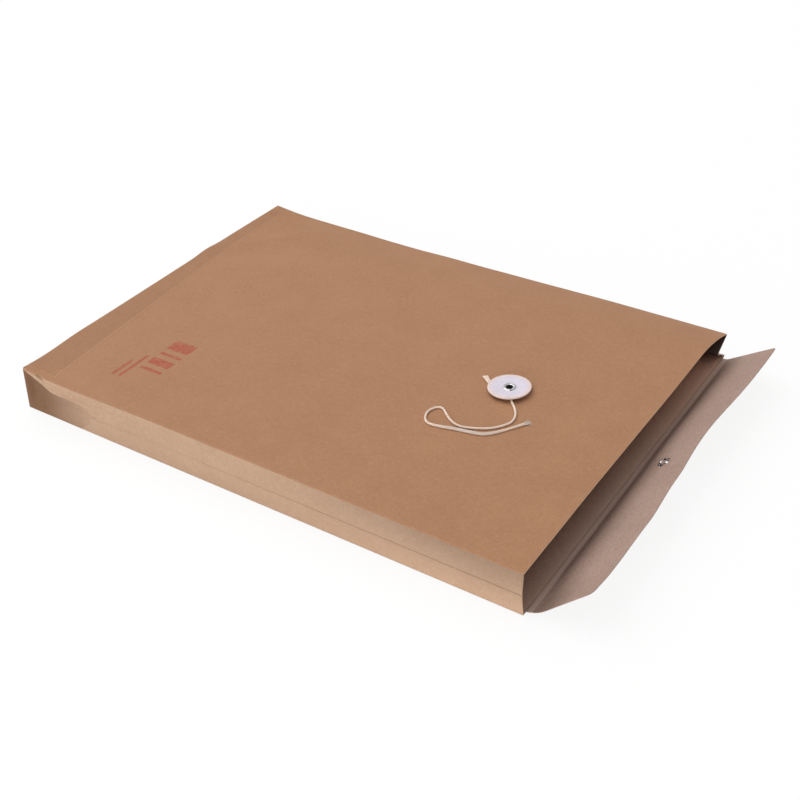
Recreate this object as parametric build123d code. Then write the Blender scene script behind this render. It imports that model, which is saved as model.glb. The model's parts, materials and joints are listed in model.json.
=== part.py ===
# String tie envelope of kraft card, lying on its front panel with the mouth open and the flap lifted.
# Millimetres. X runs from the closed end to the mouth, Y from the near side to the far side, Z up.
# The origin is the centre of the front panel's underside.
import os
from math import acos, atan2, cos, degrees, hypot, pi, radians, sin, tan

from build123d import *

# Card and folds
paper = 0.4                  # thickness of the card
fold_gap = 0.1               # every leaf stops this far short of its crease line
glue_gap = 0.02              # film of glue between a lap and the card that it is stuck to
body_length = 324.0
body_width = 240.0
leaf_depth = 13.8            # a side gusset has two leaves of this depth
near_lean = 6.5              # lean of the near gusset's leaves out of the vertical, degrees
end_drop = 17.0              # how far the back panel's far edge hangs below its near edge, at the closed end
mouth_drop = 11.7            # and at the mouth
shoulder_width = 40.0        # stretch along the far edge where the panel rolls over at the mouth
shoulder_drop = 3.0          # how far the panel has fallen at the mouth where it begins to roll over

# Glued laps
seam_width = 12.0            # tab of the far gusset, stuck inside the front panel
seam_end_inset = 34.0
seam_mouth_inset = 2.0
lap_width = 22.0             # strip of the end wall, stuck on the back panel
lap_end_inset = 7.0

# Pleats at the two corners of the closed end
near_pleat_length = 50.0
far_pleat_length = 30.0
near_end_mitre = 6.0
far_end_mitre = 6.0
pleat_gap = 0.6              # clear space between a pleat and the leaves beside it

# Closure flap
flap_depth = 39.5
flap_root_inset = 2.5        # the flap is narrower than the body by this at each end of its crease
flap_tip_inset = 8.6         # and by this at its outer edge
flap_corner_radius = 5.0
flap_lift = 37.4             # lift of the flap above the table, degrees

# Buttons and the eyelets that hold them
button_diameter = 24.0
button_thickness = 0.9
button_edge_radius = 0.2
button_gap = 1.8             # room under a button for the string
panel_button_setback = 76.6  # from the mouth to the axis of the panel's button
panel_button_side = 1.7      # and from the middle of the panel, towards the far side
flap_button_reach = 21.0     # from the flap's crease to the axis of its button
barrel_diameter = 4.0
barrel_bore = 2.9
flange_diameter = 7.5
flange_height = 0.7
flange_radius = 0.3
clinch_diameter = 8.8        # across the points of the star that clinches an eyelet
clinch_root_diameter = 5.0
clinch_thickness = 0.3
clinch_points = 6
clinch_clearance = 0.04      # play between a star and the card that it clinches
barrel_clearance = 0.05      # radial play of a button, and of the card, round a barrel
flange_clearance = 0.08      # play between a button and the flange above it

# String, limp cotton: its points are offsets along X and Y from the axis of the panel's button
string_diameter = 1.2
string_lift = 0.4            # clear space under the string
string_clearance = 0.15      # and round the barrel
string_route = [
    (2.0, -3.0), (5.8, -8.6), (12.8, -15.5), (16.1, -23.3), (14.0, -29.3), (8.7, -35.8), (1.0, -39.9),
    (-6.0, -42.3), (-12.0, -40.7), (-17.5, -36.7), (-22.7, -32.1), (-26.3, -33.6), (-28.2, -39.0),
    (-26.1, -45.2), (-22.1, -48.4), (-14.8, -47.1), (-6.9, -44.9), (2.5, -43.3), (8.9, -41.4),
    (14.0, -35.7), (18.2, -29.5), (22.3, -23.0)]
tail_route = [(-3.5, -1.0), (-9.0, -2.0), (-14.2, 1.4), (-19.8, 6.4)]

# Lines that the pieces share
end_x = -body_length / 2
mouth_x = body_length / 2
near_y = -body_width / 2
far_y = body_width / 2
lean = radians(near_lean)
near_rise = 2 * leaf_depth * cos(lean) - 2 * paper * sin(lean)
panel_z = paper + near_rise                  # underside of the back panel along its near edge
last_x = mouth_x - fold_gap                  # the panel and the gussets stop just short of the mouth's fold
twist_x = end_x + lap_width                  # the strip keeps the panel straight, and it twists from here on
shoulder_y = far_y - shoulder_width
end_slope = atan2(end_drop, body_width)
mouth_slope = atan2(shoulder_drop, shoulder_y - near_y)
roll_turn = 2 * (atan2(mouth_drop - shoulder_drop, shoulder_width) - mouth_slope)
roll_radius = hypot(mouth_drop - shoulder_drop, shoulder_width) / (2 * sin(roll_turn / 2))
end_far_z = panel_z - end_drop               # underside of the back panel's far edge at the closed end
mouth_far_z = panel_z - mouth_drop           # and at the mouth
far_root_z = 2 * paper + glue_gap            # the far gusset stands on its own seam tab
panel_button_x = mouth_x - panel_button_setback
barrel_hole = barrel_diameter + 2 * barrel_clearance
base_align = (Align.CENTER, Align.CENTER, Align.MIN)


def leaf(points, hinge, outward, thickness):
    # A flat leaf: points are (x, distance from the hinge line), and thickness builds along outward.
    plane = Plane(origin=hinge, x_dir=(1, 0, 0), z_dir=outward)
    return extrude(plane * make_face(Polyline(*points, close=True)), amount=thickness)


def across(x):
    # The plane across the body at x, with Y and Z as its own axes.
    return Plane((x, 0, 0), x_dir=(0, 1, 0), z_dir=(1, 0, 0))


def end_edge_z(y):
    # Underside of the back panel at the closed end, where the end wall's upper crease runs.
    return panel_z - end_drop * (y - near_y) / body_width


def raised(y, z, slope, height):
    # The point that stands height off a line which falls at this slope towards the far side.
    return (y + height * sin(slope), z + height * cos(slope))


def end_points(height):
    # The back panel at the closed end, straight: near edge, shoulder and far edge.
    return [raised(y, end_edge_z(y), end_slope, height) for y in (near_y, shoulder_y, far_y)]


def mouth_points(height):
    # The back panel at the mouth: near edge, then start, middle and end of the arc that rolls over.
    centre = raised(shoulder_y, panel_z - shoulder_drop, mouth_slope, -roll_radius)
    points = [raised(near_y, panel_z, mouth_slope, height)]
    for share in (0, 0.5, 1):
        points.append(raised(*centre, mouth_slope + share * roll_turn, roll_radius + height))
    return points


def twisted(end_outline, mouth_outline):
    # A sheet with one outline straight along the strip, then ruled to the other outline at the mouth.
    end_face = make_face(end_outline)
    straight = extrude(across(end_x) * end_face, amount=lap_width)
    return straight + loft([across(twist_x) * end_face, across(last_x) * make_face(mouth_outline)], ruled=True)


def make_back_panel():
    low, high = 0, paper
    near_low, turn_low, far_low = end_points(low)
    near_high, turn_high, far_high = end_points(high)
    end_outline = [Line(near_low, turn_low), Line(turn_low, far_low), Line(far_low, far_high),
                   Line(far_high, turn_high), Line(turn_high, near_high), Line(near_high, near_low)]
    near_low, turn_low, middle_low, far_low = mouth_points(low)
    near_high, turn_high, middle_high, far_high = mouth_points(high)
    mouth_outline = [Line(near_low, turn_low), ThreePointArc(turn_low, middle_low, far_low),
                     Line(far_low, far_high), ThreePointArc(far_high, middle_high, turn_high),
                     Line(turn_high, near_high), Line(near_high, near_low)]
    return twisted(end_outline, mouth_outline) - panel_plane() * barrel_cut()


def panel_plane():
    # Outer face of the back panel at its button, with Z square to the panel.
    share = (panel_button_x - twist_x) / (last_x - twist_x)
    end_z = end_edge_z(panel_button_side)
    mouth_z = panel_z - (panel_button_side - near_y) * tan(mouth_slope)
    rise = (mouth_z - end_z) / (last_x - twist_x)
    fall = (1 - share) * tan(end_slope) + share * tan(mouth_slope)
    normal = Vector(-rise, fall, 1).normalized()
    seat = Vector(panel_button_x, panel_button_side, end_z + share * (mouth_z - end_z))
    return Plane(seat + normal * paper, x_dir=(1, 0, rise), z_dir=normal)


def barrel_cut():
    # The hole for an eyelet's barrel, in a sheet whose outer face is Z = 0.
    return Cylinder(barrel_hole / 2, 4 * paper)


def make_front_panel():
    low = (end_x, near_y, 0)
    return Pos(*low) * Box(body_length, body_width, paper, align=(Align.MIN, Align.MIN, Align.MIN))


def make_seam_tab():
    length = body_length - seam_end_inset - seam_mouth_inset
    corner = (end_x + seam_end_inset, far_y - seam_width, paper + glue_gap)
    return Pos(*corner) * Box(length, seam_width, paper, align=(Align.MIN, Align.MIN, Align.MIN))


def make_end_lap():
    # The strip stuck on the panel, and the skirt that hangs from it to the end wall's upper crease.
    low = paper + glue_gap
    high = low + paper
    near_end = near_y + lap_end_inset
    far_end = far_y - lap_end_inset
    lap = []
    for inner_x, base in ((twist_x, low), (end_x - glue_gap, fold_gap)):
        points = []
        for y, height in ((near_end, high), (far_end, high), (far_end, base), (near_end, base)):
            points.append((y, end_edge_z(y) + height / cos(end_slope)))
        band = across(inner_x) * make_face(Polyline(*points, close=True))
        lap.append(extrude(band, amount=end_x - paper - inner_x))
    return lap[0] + lap[1]


def end_crease_z(y):
    return (paper + end_edge_z(y)) / 2


def near_crease():
    # Line of the near gusset's middle crease, on the outer faces of its leaves.
    y = near_y - leaf_depth * sin(lean) - paper * cos(lean)
    z = paper + leaf_depth * cos(lean) - paper * sin(lean)
    return (0, y, z)


def side_leaf_points(pleat_length, root_trim, tip_trim):
    # A side leaf from its root to its tip, cut back on a slant beside the pleat.
    root = root_trim
    tip = leaf_depth - tip_trim
    first = end_x + pleat_gap
    slant = (pleat_length - pleat_gap) / leaf_depth
    return [(first + slant * root, root), (last_x, root), (last_x, tip), (first + slant * tip, tip)]


def make_near_gusset_lower():
    outward = (0, -cos(lean), -sin(lean))
    return leaf(side_leaf_points(near_pleat_length, fold_gap, fold_gap), (0, near_y, paper), outward, paper)


def make_near_gusset_upper():
    outward = (0, -cos(lean), sin(lean))
    points = [(x, leaf_depth - s) for x, s in side_leaf_points(near_pleat_length, fold_gap, fold_gap)]
    return leaf(points, near_crease(), outward, -paper)


def far_lean(far_z):
    # Lean of the folded gusset's leaves where the back panel's far edge is far_z high.
    return atan2(paper, leaf_depth) + acos((far_z - far_root_z) / (2 * hypot(leaf_depth, paper)))


def far_leaf(side, end_root_z, mouth_root_z):
    # A leaf of the folded gusset, ruled from the closed end to the mouth: side 1 is the lower, -1 the upper.
    root = fold_gap
    tip = leaf_depth - 2 * fold_gap
    outlines = []
    for root_z, far_z in ((end_root_z, end_far_z), (mouth_root_z, mouth_far_z)):
        lean_y = sin(far_lean(far_z))
        lean_z = cos(far_lean(far_z))
        points = []
        for depth, height in ((root, 0), (tip, 0), (tip, paper), (root, paper)):
            y = far_y - depth * lean_y + height * lean_z
            points.append((y, root_z + side * (depth * lean_z + height * lean_y)))
        outlines.append(Polyline(*points, close=True))
    return twisted(*outlines) - far_pleat_room(side, end_root_z)


def far_pleat_room(side, root_z):
    # What the pleat takes from a leaf of the folded gusset at the closed end: a slanted cut.
    end_lean = far_lean(end_far_z)
    plane = Plane((0, far_y, root_z), x_dir=(1, 0, 0), z_dir=(0, -side * cos(end_lean), -sin(end_lean)))
    root_x, tip_x = [points[0] for points in side_leaf_points(far_pleat_length, -paper, -paper)[::3]]
    outline = Polyline((end_x - paper, -paper), (root_x, -paper), (tip_x, leaf_depth + paper),
                       (end_x - paper, leaf_depth + paper), close=True)
    return extrude(plane * make_face(outline), amount=3 * paper, both=True)


def make_far_gusset_lower():
    return far_leaf(1, far_root_z, far_root_z)


def make_far_gusset_upper():
    return far_leaf(-1, end_far_z, mouth_far_z)


def end_leaf(points):
    # A leaf of the end wall: points are (y, z), and the card lies outside the body's end.
    return extrude(across(end_x) * make_face(Polyline(*points, close=True)), amount=-paper)


def end_leaf_points(edge_z, edge_shift):
    # From the crease in the middle of the end wall to the edge line edge_z.
    near_tip = near_y + near_end_mitre
    far_tip = far_y - far_end_mitre
    near_root = near_y + pleat_gap
    far_root = far_y - pleat_gap
    crease = [(near_tip, end_crease_z(near_tip) + edge_shift), (far_tip, end_crease_z(far_tip) + edge_shift)]
    edge = [(far_root, edge_z(far_root) - edge_shift), (near_root, edge_z(near_root) - edge_shift)]
    return crease + edge


def make_end_wall_lower():
    return end_leaf(end_leaf_points(lambda y: paper, -fold_gap))


def make_end_wall_upper():
    return end_leaf(end_leaf_points(end_edge_z, fold_gap))


def pleat_facet(corner_low, corner_high, tip):
    # A three-cornered facet of a pleat, one sheet thick, whose tip stops short of the leaves' creases.
    corner_low, corner_high, tip = Vector(corner_low), Vector(corner_high), Vector(tip)
    middle = (corner_low + corner_high) / 2
    reach = tip - middle
    half_angle = atan2((corner_high - corner_low).length / 2, reach.length)
    tip = tip - reach.normalized() * (pleat_gap / sin(half_angle))
    climb = (corner_high - corner_low).normalized() * (pleat_gap / cos(half_angle))
    return make_face(Polyline(corner_low + climb, corner_high - climb, tip, close=True))


def make_pleat(side, corner_y, low_z, high_z, side_tip, end_tip):
    # Two facets that meet in the upright corner: one in the side gusset, one in the end wall.
    low = (end_x, corner_y, low_z)
    high = (end_x, corner_y, high_z)
    side_sheet = extrude(pleat_facet(low, high, side_tip), amount=paper, dir=(0, side, 0))
    end_sheet = extrude(pleat_facet(low, high, end_tip), amount=paper, dir=(-1, 0, 0))
    rise = high_z - low_z - 2 * pleat_gap - 2 * fold_gap
    post = Box(paper, paper, rise)
    corner = Pos(end_x - paper / 2, corner_y + side * paper / 2, (low_z + high_z) / 2) * post
    return side_sheet + corner + end_sheet


def make_near_corner_pleat():
    side_tip = (end_x + near_pleat_length, near_y - leaf_depth * sin(lean), (paper + panel_z) / 2)
    tip_y = near_y + near_end_mitre
    return make_pleat(-1, near_y, paper, panel_z, side_tip, (end_x, tip_y, end_crease_z(tip_y)))


def make_far_corner_pleat():
    fold_y = far_y - leaf_depth * sin(far_lean(end_far_z))
    side_tip = (end_x + far_pleat_length, fold_y, (far_root_z + end_far_z) / 2)
    tip_y = far_y - far_end_mitre
    return make_pleat(1, far_y, far_root_z, end_far_z, side_tip, (end_x, tip_y, end_crease_z(tip_y)))


def on_flap(piece):
    # Carries a piece from the flat flap, whose inner face is the plane Z = 0, to the lifted flap.
    return Pos(mouth_x, 0, paper) * Rot(0, -flap_lift, 0) * piece


def make_closure_flap():
    root = body_width / 2 - flap_root_inset
    tip = body_width / 2 - flap_tip_inset
    outline = Polyline((fold_gap, -root), (fold_gap, root), (flap_depth, tip), (flap_depth, -tip), close=True)
    face = make_face(outline)
    outer_corners = face.vertices().group_by(Axis.X)[-1]
    sheet = extrude(fillet(outer_corners, flap_corner_radius), amount=-paper)
    return on_flap(sheet - Pos(flap_button_reach, 0, 0) * barrel_cut())


def make_eyelet():
    # Upright on a sheet whose outer face is Z = 0: flange above the button, star clinched under the sheet.
    flange_z = button_gap + button_thickness + flange_clearance
    flange = Pos(0, 0, flange_z) * Cylinder(flange_diameter / 2, flange_height, align=base_align)
    flange = fillet(flange.edges().group_by(Axis.Z)[-1], flange_radius)
    barrel_low = -paper - clinch_clearance - clinch_thickness
    barrel_height = flange_z + flange_height / 2 - barrel_low
    barrel = Pos(0, 0, barrel_low) * Cylinder(barrel_diameter / 2, barrel_height, align=base_align)
    points = []
    for index in range(2 * clinch_points):
        radius = (clinch_diameter if index % 2 == 0 else clinch_root_diameter) / 2
        turn = pi * index / clinch_points
        points.append((radius * cos(turn), radius * sin(turn)))
    star = Pos(0, 0, barrel_low) * extrude(make_face(Polyline(*points, close=True)), amount=clinch_thickness)
    bore = Pos(0, 0, barrel_low) * Cylinder(barrel_bore / 2, barrel_height + flange_height, align=base_align)
    return flange + barrel + star - bore


def make_button():
    disc = Pos(0, 0, button_gap) * Cylinder(button_diameter / 2, button_thickness, align=base_align)
    disc = fillet(disc.edges().filter_by(GeomType.CIRCLE), button_edge_radius)
    return disc - Pos(0, 0, button_gap) * Cylinder(barrel_hole / 2, 3 * button_thickness)


def under_flap(piece):
    # Turns a piece over, on to the flap's outer face.
    return on_flap(Pos(flap_button_reach, 0, -paper) * Rot(180, 0, 0) * piece)


def string_tube(name, route):
    # A round string on the panel: straight runs joined by arcs as large as the runs allow.
    height = string_lift + string_diameter / 2
    points = [Vector(x, y, height) for x, y in route]
    radii = []
    for before, point, after in zip(points, points[1:], points[2:]):
        turn = radians((point - before).get_angle(after - point))
        shorter = min((point - before).length, (after - point).length)
        radii.append(0.45 * shorter / tan(turn / 2))
    path = FilletPolyline(*points, radius=radii)
    section = Plane(origin=path @ 0, z_dir=path % 0) * Circle(string_diameter / 2)
    tube = sweep(section, path=path)
    expected = pi * string_diameter ** 2 / 4 * path.length
    print(name, "length", round(path.length, 2), "volume ratio", round(tube.volume / expected, 4))
    print(name, "radii", [round(radius, 2) for radius in radii])
    return panel_plane() * tube


def make_string_hitch():
    ring_radius = barrel_diameter / 2 + string_clearance + string_diameter / 2
    height = string_lift + string_diameter / 2
    return panel_plane() * Pos(0, 0, height) * Torus(ring_radius, string_diameter / 2)


pieces = {
    "front_panel": make_front_panel(),
    "seam_tab": make_seam_tab(),
    "back_panel": make_back_panel(),
    "end_lap": make_end_lap(),
    "near_gusset_lower": make_near_gusset_lower(),
    "near_gusset_upper": make_near_gusset_upper(),
    "far_gusset_lower": make_far_gusset_lower(),
    "far_gusset_upper": make_far_gusset_upper(),
    "end_wall_lower": make_end_wall_lower(),
    "end_wall_upper": make_end_wall_upper(),
    "near_corner_pleat": make_near_corner_pleat(),
    "far_corner_pleat": make_far_corner_pleat(),
    "closure_flap": make_closure_flap(),
    "panel_button": panel_plane() * make_button(),
    "panel_eyelet": panel_plane() * make_eyelet(),
    "flap_button": under_flap(make_button()),
    "flap_eyelet": under_flap(make_eyelet()),
    "string_hitch": make_string_hitch(),
    "tie_string": string_tube("tie_string", string_route),
    "string_tail": string_tube("string_tail", tail_route),
}

os.makedirs("parts", exist_ok=True)
for node, solid in pieces.items():
    export_step(solid, "parts/" + node + ".step")

seat = panel_plane()
near_crease_line = [round(value, 3) for value in near_crease()]
print("near crease", near_crease_line, "panel underside", round(panel_z, 3))
print("far edge underside", round(end_far_z, 3), "to", round(mouth_far_z, 3))
print("far lean", round(degrees(far_lean(end_far_z)), 3), "to", round(degrees(far_lean(mouth_far_z)), 3))
print("button seat", seat.origin, "axis", seat.z_dir)
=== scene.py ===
import json
import math

import bmesh
import bpy
import numpy as np
from mathutils import Matrix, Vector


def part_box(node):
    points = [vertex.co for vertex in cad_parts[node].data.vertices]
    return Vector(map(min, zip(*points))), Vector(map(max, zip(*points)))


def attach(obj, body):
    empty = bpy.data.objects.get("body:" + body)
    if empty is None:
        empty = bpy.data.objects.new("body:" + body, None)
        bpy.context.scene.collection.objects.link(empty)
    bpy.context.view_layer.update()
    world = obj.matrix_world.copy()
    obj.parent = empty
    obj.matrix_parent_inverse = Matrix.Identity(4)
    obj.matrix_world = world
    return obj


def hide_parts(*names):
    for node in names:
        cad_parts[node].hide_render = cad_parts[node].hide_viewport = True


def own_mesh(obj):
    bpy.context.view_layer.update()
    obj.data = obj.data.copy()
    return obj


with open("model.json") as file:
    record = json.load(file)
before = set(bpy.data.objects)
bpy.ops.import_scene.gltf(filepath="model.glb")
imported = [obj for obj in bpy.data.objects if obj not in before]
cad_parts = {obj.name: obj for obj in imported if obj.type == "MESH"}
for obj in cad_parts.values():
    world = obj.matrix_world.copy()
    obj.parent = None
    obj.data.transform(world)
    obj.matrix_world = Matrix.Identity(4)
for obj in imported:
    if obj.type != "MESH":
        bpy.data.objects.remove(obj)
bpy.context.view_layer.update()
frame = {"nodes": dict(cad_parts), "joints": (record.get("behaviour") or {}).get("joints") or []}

mm = 0.001  # every shape below is worked out in millimetres and put into its mesh in metres
hinges = {joint["name"]: joint for joint in frame["joints"]}
paper = float(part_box("front_panel")[1][2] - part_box("front_panel")[0][2]) / mm


def hingePoint(name):
    return np.array(hinges[name]["pos_m"]) / mm


def hingeAxis(name):
    return np.array(hinges[name]["axis"])


def unit(vectors):
    return vectors / np.maximum(np.linalg.norm(vectors, axis=-1, keepdims=True), 1e-12)


def curveThrough(at, knots, values):
    # cubic through the knots, with the slope at each knot taken from its neighbours
    knots, values = np.asarray(knots, float), np.asarray(values, float)
    slopes = np.gradient(values, knots)
    left = np.clip(np.searchsorted(knots, at) - 1, 0, len(knots) - 2)
    span = knots[left + 1] - knots[left]
    s = np.clip((at - knots[left]) / span, 0, 1)
    start = (2 * s**3 - 3 * s**2 + 1) * values[left] + (s**3 - 2 * s**2 + s) * span * slopes[left]
    end = (3 * s**2 - 2 * s**3) * values[left + 1] + (s**3 - s**2) * span * slopes[left + 1]
    return start + end


def ease(at, low, high):
    # 0 below low, 1 above high, smooth between
    s = np.clip((at - low) / (high - low), 0, 1)
    return s * s * (3 - 2 * s)


def spaced(low, high, count, margin=0.5):
    # even spacing with an extra line close to both edges
    return np.concatenate([[low], np.linspace(low + margin, high - margin, count), [high]])


def lineBetween(start, end, count):
    return np.array(start) + np.linspace(0, 1, count)[:, None] * (np.array(end) - np.array(start))


def gridOf(x, y, z):
    return np.stack(np.broadcast_arrays(x, y, z), -1)


def gridNormals(grid):
    return unit(np.cross(np.gradient(grid, axis=0), np.gradient(grid, axis=1)))


def sheetPart(grid, facing, thickness=paper):
    # outer face = grid, inner face = grid - thickness * normal, half circles round the rim
    rimSteps = 3
    if gridNormals(grid).mean((0, 1)) @ facing < 0:
        grid = grid[:, ::-1]
    normal = gridNormals(grid)
    rows, columns = grid.shape[:2]
    count = rows * columns
    index = np.arange(count).reshape(rows, columns)
    edge = np.concatenate([index[0, :-1], index[:-1, -1], index[-1, :0:-1], index[:0:-1, 0]])
    rim, rimNormal = grid.reshape(-1, 3)[edge], normal.reshape(-1, 3)[edge]
    along = unit(np.roll(rim, -1, 0) - np.roll(rim, 1, 0))
    outward = unit(np.cross(rimNormal, along))
    turn = np.linspace(0, np.pi, rimSteps + 2)[1:-1, None, None]
    arc = rim + thickness / 2 * ((np.cos(turn) - 1) * rimNormal + np.sin(turn) * outward)
    points = np.concatenate([part.reshape(-1, 3) for part in (grid, grid - thickness * normal, arc)])
    outer = np.stack([index[:-1, :-1], index[1:, :-1], index[1:, 1:], index[:-1, 1:]], -1).reshape(-1, 4)
    between = 2 * count + np.arange(rimSteps * len(edge)).reshape(rimSteps, -1)
    loops = np.concatenate([edge[None], between, count + edge[None]])
    after = np.roll(loops, -1, 1)
    rimFaces = np.stack([loops[:-1], after[:-1], after[1:], loops[1:]], -1).reshape(-1, 4)
    # marks: 0 outer face, 1 inner face, 2 cut edge
    marks = np.repeat([0, 1, 2], [len(outer), len(outer), len(rimFaces)])
    return points, np.concatenate([outer, outer[:, ::-1] + count, rimFaces]).tolist(), marks


def ringPart(rings, closed=False):
    # rings carried along a path, capped at both ends unless the path is closed
    count, around = rings.shape[:2]
    index = np.arange(count * around).reshape(count, around)
    if closed:
        index = np.concatenate([index, index[:1]])
    after = np.roll(index, -1, 1)
    faces = np.stack([index[:-1], index[1:], after[1:], after[:-1]], -1).reshape(-1, 4).tolist()
    if not closed:
        faces += [index[0].tolist(), index[-1, ::-1].tolist()]
    return rings.reshape(-1, 3), faces


def acrossLine(line):
    # directions across each point of a line: one in the panel's plane and one up from it
    tangent = unit(np.gradient(line, axis=0))
    side = unit(np.cross(tangent, buttonAxis))
    return side, np.cross(side, tangent)


def tubePart(path, radius, sides):
    # circle carried along a path: path + radius * (cos a * side + sin a * up)
    side, up = acrossLine(path)
    angle = np.linspace(0, 2 * np.pi, sides, endpoint=False)[None, :, None]
    radius = np.broadcast_to(np.asarray(radius, float), (len(path),))[:, None, None]
    return ringPart(path[:, None] + radius * (np.cos(angle) * side[:, None] + np.sin(angle) * up[:, None]))


def foldPart(path, first, middle):
    # outside of a fold: half a disc along the crease, from direction first round by middle
    turn = np.linspace(0, np.pi, 9)[:, None]
    arc = np.cos(turn) * first + np.sin(turn) * middle
    return ringPart(path[:, None] + paper * arc[None])


def turnedPart(profile, origin, axis, around):
    # closed profile of (radius, height) points carried round an axis
    axis = unit(axis)
    across = unit(np.cross(axis, (0.0, 1.0, 0.0)))
    over = np.cross(axis, across)
    angle = np.linspace(0, 2 * np.pi, around, endpoint=False)[:, None, None]
    radius, height = np.asarray(profile, float).T[:, None, :, None]
    rings = origin + radius * (np.cos(angle) * across + np.sin(angle) * over) + height * axis
    return ringPart(rings, closed=True)


def linked(name, data):
    holder = bpy.data.objects.new(name, data)
    bpy.context.scene.collection.objects.link(holder)
    return holder


def addPiece(name, parts, material, body, nodes=(), sharp=35, lining=None, edge=None):
    points = np.concatenate([part[0] for part in parts]) * mm
    faces, start = [], 0
    for part in parts:
        faces += [[start + corner for corner in face] for face in part[1]]
        start += len(part[0])
    mesh = bpy.data.meshes.new(name)
    mesh.from_pydata(points.tolist(), [], faces)
    shell = bmesh.new()
    shell.from_mesh(mesh)
    bmesh.ops.recalc_face_normals(shell, faces=shell.faces)
    shell.to_mesh(mesh)
    shell.free()
    mesh.polygons.foreach_set("use_smooth", np.ones(len(mesh.polygons), bool))
    mesh.set_sharp_from_angle(angle=math.radians(sharp))
    for coat in (material, lining, edge or material) if lining else (material,):
        mesh.materials.append(coat)
    if lining:
        marks = [part[2] if len(part) > 2 else np.zeros(len(part[1]), int) for part in parts]
        mesh.polygons.foreach_set("material_index", np.concatenate(marks).astype(np.int32))
    piece = linked(name, mesh)
    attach(piece, body)
    if nodes:
        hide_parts(*nodes)
    return piece


def addCard(name, parts, material, body, nodes=(), lining=None, edge=None):
    return addPiece(name, parts, material, body, nodes, lining=lining, edge=edge)


def addLeaf(name, node, grid, facing, material, lining, edge=None):
    # one sheet on the body that has its node's name
    return addCard(name, [sheetPart(grid, facing)], material, node, [node], lining, edge)


def addString(name, parts, material, nodes=()):
    return addPiece(name, parts, material, "back_panel", nodes, 60)


def placeObject(name, data, right, up, back, place):
    # its X, Y and Z axes point along right, up and back
    turned = np.eye(4)
    turned[:3] = np.stack([right, up, back, place], 1)
    holder = linked(name, data)
    holder.matrix_world = Matrix(turned.tolist())
    return holder


def evaluatedMesh(holder):
    bpy.context.view_layer.update()
    return bpy.data.meshes.new_from_object(holder.evaluated_get(bpy.context.evaluated_depsgraph_get()))


# camera, fitted to the corners of the envelope in a square image
view = {"azimuth": 34.85, "elevation": 37.61, "roll": -3.12, "target": (19.95, -8.73, 0.0),
        "distance": 820.0, "focalPixels": 1440.0, "imagePixels": 800.0, "sensor": 36.0}
azimuth, elevation, roll = [math.radians(view[key]) for key in ("azimuth", "elevation", "roll")]
level = math.cos(elevation)
backward = np.array([math.sin(azimuth) * level, -math.cos(azimuth) * level, math.sin(elevation)])
levelRight = unit(np.cross(-backward, (0, 0, 1.0)))
levelUp = np.cross(levelRight, -backward)
cameraRight = math.cos(roll) * levelRight + math.sin(roll) * levelUp
cameraUp = math.cos(roll) * levelUp - math.sin(roll) * levelRight
cameraPlace = (np.array(view["target"]) + view["distance"] * backward) * mm
cameraData = bpy.data.cameras.new("photoCamera")
cameraData.sensor_width = view["sensor"]
cameraData.lens = view["sensor"] * view["focalPixels"] / view["imagePixels"]
cameraData.clip_start = 0.01
photoCamera = placeObject("photoCamera", cameraData, cameraRight, cameraUp, backward, cameraPlace)
bpy.context.scene.camera = photoCamera
bpy.context.scene.view_settings.view_transform = "Standard"
print("camera set")


# back panel's outer face, straight at the closed end and rolling over at the mouth's far side
panel = {
    "endX": -162.0, "mouthX": 161.9, "nearY": -120.0, "farY": 120.0, "twistX": -140.0,
    "endDrop": 17.0, "mouthDrop": 11.7, "shoulderY": 80.0, "shoulderDrop": 3.0,
    "farSag": (
        [-162, -155, -148, -140, -119, -94, -71, -48, -25, -3, 19, 40, 61, 81, 120, 162],
        [-0.2, -0.9, -1.5, -1.9, -2.3, -2.5, -2.9, -2.9, -2.3, -2.2, -1.8, -1.5, -1.1, -0.7, -0.5, -0.4]),
    "endFix": ([-120, -101, -72, -41, -8, 20, 60, 120], [1.0, -0.2, -0.4, -0.4, -0.2, 0.0, 0.2, 0.0]),
    "mouthFix": ([-120, -90, -50, -17, 6, 43, 68, 90, 120],
                 [-0.6, -0.4, 0.0, -0.3, -0.5, -1.0, -0.6, -0.2, 0.0]),
    "nearSag": ([-162, -155, -145, -130, -115, -100, -85, -70, 0, 162],
                [0.0, -0.5, -1.2, -1.4, -1.2, -0.8, -0.5, -0.3, -0.2, -0.1]), "nearSagWidth": 8.0,
    "buckle": ([-162, -152, -133, -114, -90, -60, 0, 162], [44, 56, 80, 104, 116, 126, 140, 150]),
    "buckleHeight": 0.9, "buckleWidth": 9.0, "cornerPull": 2.4, "cornerReach": 50.0, "hole": 2.05,
    "sheetSide": 119.95, "leafSide": 119.9}
panelUnder = hingePoint("back_panel_near_crease")[2]
endX, mouthX, nearY, farY = [panel[key] for key in ("endX", "mouthX", "nearY", "farY")]


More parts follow.
